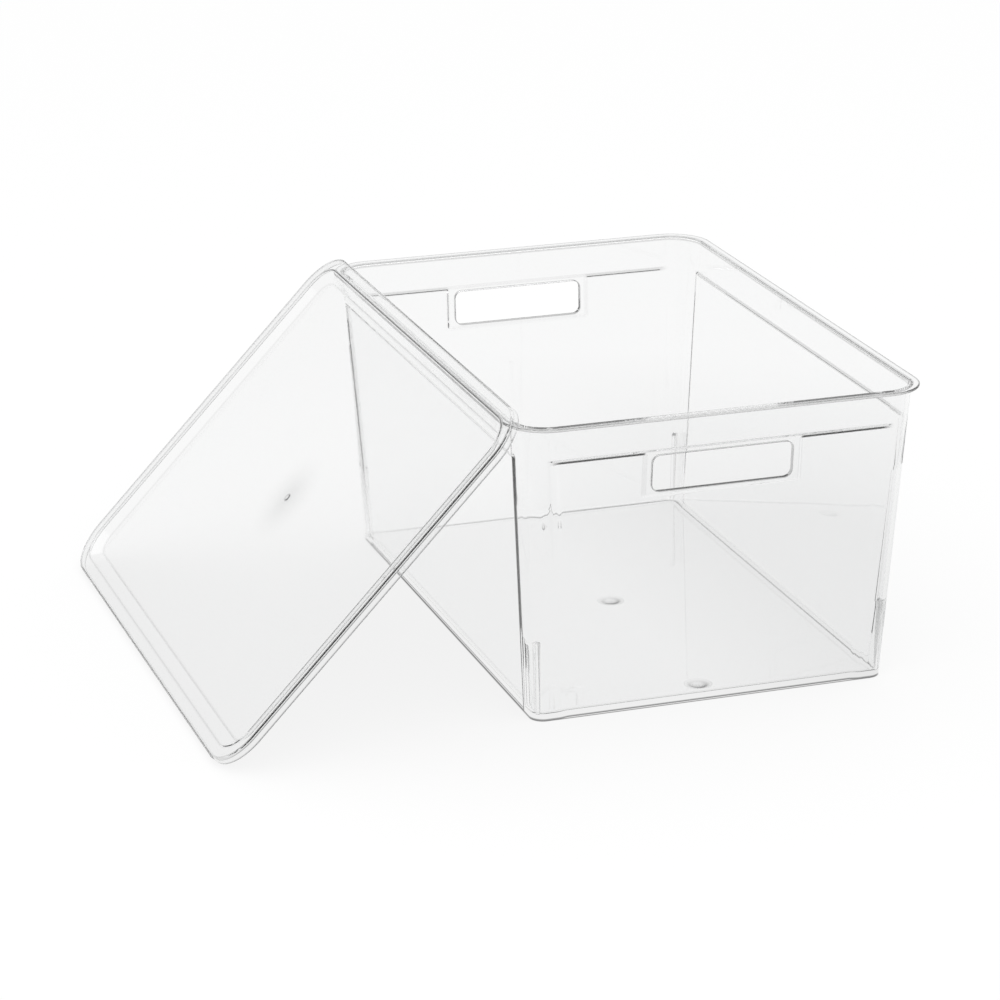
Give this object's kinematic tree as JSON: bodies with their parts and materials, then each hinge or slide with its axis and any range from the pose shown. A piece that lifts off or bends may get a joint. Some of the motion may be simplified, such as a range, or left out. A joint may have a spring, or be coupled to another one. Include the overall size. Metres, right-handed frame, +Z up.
{
  "type": "storage box with lid",
  "caption": "Clear open-topped storage box with sloping walls, a rim and two hand holes, and a shallow tray lid leaning on one side.",
  "frame": {"origin": "middle of the box's underside, on the surface it stands on", "axes": "+X to the right across the faces with hand holes, +Y to the back along the box's length, +Z up"},
  "size_m": [0.5213, 0.453, 0.2326],
  "materials": {
    "clear_box": "clear moulded acrylic, glossy",
    "clear_lid": "clear moulded acrylic, glossy"
  },
  "bodies": {
    "box": {"box_body": "clear_box"},
    "lid": {"lid": "clear_lid"}
  },
  "joints": [
    {"name": "lid_lift", "type": "slide", "parent": "box", "child": "lid", "axis": [0, 0, 1], "range_m": [0, 0.16]}
  ]
}
